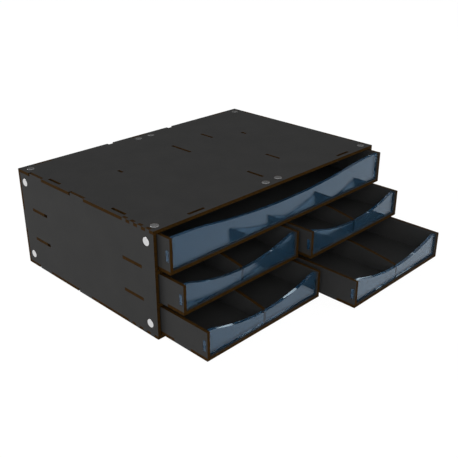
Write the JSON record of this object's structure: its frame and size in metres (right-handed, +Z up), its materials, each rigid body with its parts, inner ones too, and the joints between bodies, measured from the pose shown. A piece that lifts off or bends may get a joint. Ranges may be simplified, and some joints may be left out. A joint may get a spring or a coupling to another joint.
{
  "type": "drawer cabinet",
  "caption": "Desktop drawer cabinet of laser-cut black board with interlocking tabs, sliding drawers with clear fronts and lengthwise dividers, and magnets in its outer panels.",
  "frame": {"origin": "middle of the cabinet's footprint, on its underside", "axes": "+X to the right seen from the front, +Z up, drawers slide out toward -Y"},
  "size_m": [0.3, 0.2938, 0.101],
  "materials": {
    "level_board": "matte",
    "lengthwise_board": "matte",
    "cross_board": "matte",
    "clear_front": "gloss",
    "magnets": "polished"
  },
  "bodies": {
    "cabinet": {"top_panel": "level_board", "bottom_panel": "level_board", "left_side_panel": "lengthwise_board", "right_side_panel": "lengthwise_board", "back_panel": "cross_board", "upper_shelf": "level_board", "lower_shelf": "level_board", "middle_divider": "lengthwise_board", "top_magnets": "magnets", "bottom_magnets": "magnets", "left_side_magnets": "magnets", "right_side_magnets": "magnets"},
    "wide_drawer": {"wide_drawer_base": "level_board", "wide_drawer_left_wall": "lengthwise_board", "wide_drawer_right_wall": "lengthwise_board", "wide_drawer_back_wall": "cross_board", "wide_drawer_clear_front": "clear_front"},
    "middle_left_drawer": {"middle_left_drawer_base": "level_board", "middle_left_drawer_left_wall": "lengthwise_board", "middle_left_drawer_right_wall": "lengthwise_board", "middle_left_drawer_back_wall": "cross_board", "middle_left_drawer_clear_front": "clear_front", "middle_left_drawer_divider": "lengthwise_board"},
    "middle_right_drawer": {"middle_right_drawer_base": "level_board", "middle_right_drawer_left_wall": "lengthwise_board", "middle_right_drawer_right_wall": "lengthwise_board", "middle_right_drawer_back_wall": "cross_board", "middle_right_drawer_clear_front": "clear_front", "middle_right_drawer_divider": "lengthwise_board"},
    "bottom_left_drawer": {"bottom_left_drawer_base": "level_board", "bottom_left_drawer_left_wall": "lengthwise_board", "bottom_left_drawer_right_wall": "lengthwise_board", "bottom_left_drawer_back_wall": "cross_board", "bottom_left_drawer_clear_front": "clear_front", "bottom_left_drawer_divider": "lengthwise_board"},
    "bottom_right_drawer": {"bottom_right_drawer_base": "level_board", "bottom_right_drawer_left_wall": "lengthwise_board", "bottom_right_drawer_right_wall": "lengthwise_board", "bottom_right_drawer_back_wall": "cross_board", "bottom_right_drawer_clear_front": "clear_front", "bottom_right_drawer_divider": "lengthwise_board"}
  },
  "joints": [
    {"name": "wide_drawer_slide", "type": "slide", "parent": "cabinet", "child": "wide_drawer", "axis": [0, -1, 0], "range_m": [-0.0139, 0.1361]},
    {"name": "middle_left_drawer_slide", "type": "slide", "parent": "cabinet", "child": "middle_left_drawer", "axis": [0, -1, 0], "range_m": [-0.0286, 0.1214]},
    {"name": "middle_right_drawer_slide", "type": "slide", "parent": "cabinet", "child": "middle_right_drawer", "axis": [0, -1, 0], "range_m": [-0.0389, 0.1111]},
    {"name": "bottom_left_drawer_slide", "type": "slide", "parent": "cabinet", "child": "bottom_left_drawer", "axis": [0, -1, 0], "range_m": [-0.0552, 0.0948]},
    {"name": "bottom_right_drawer_slide", "type": "slide", "parent": "cabinet", "child": "bottom_right_drawer", "axis": [0, -1, 0], "range_m": [-0.0908, 0.0592]}
  ]
}
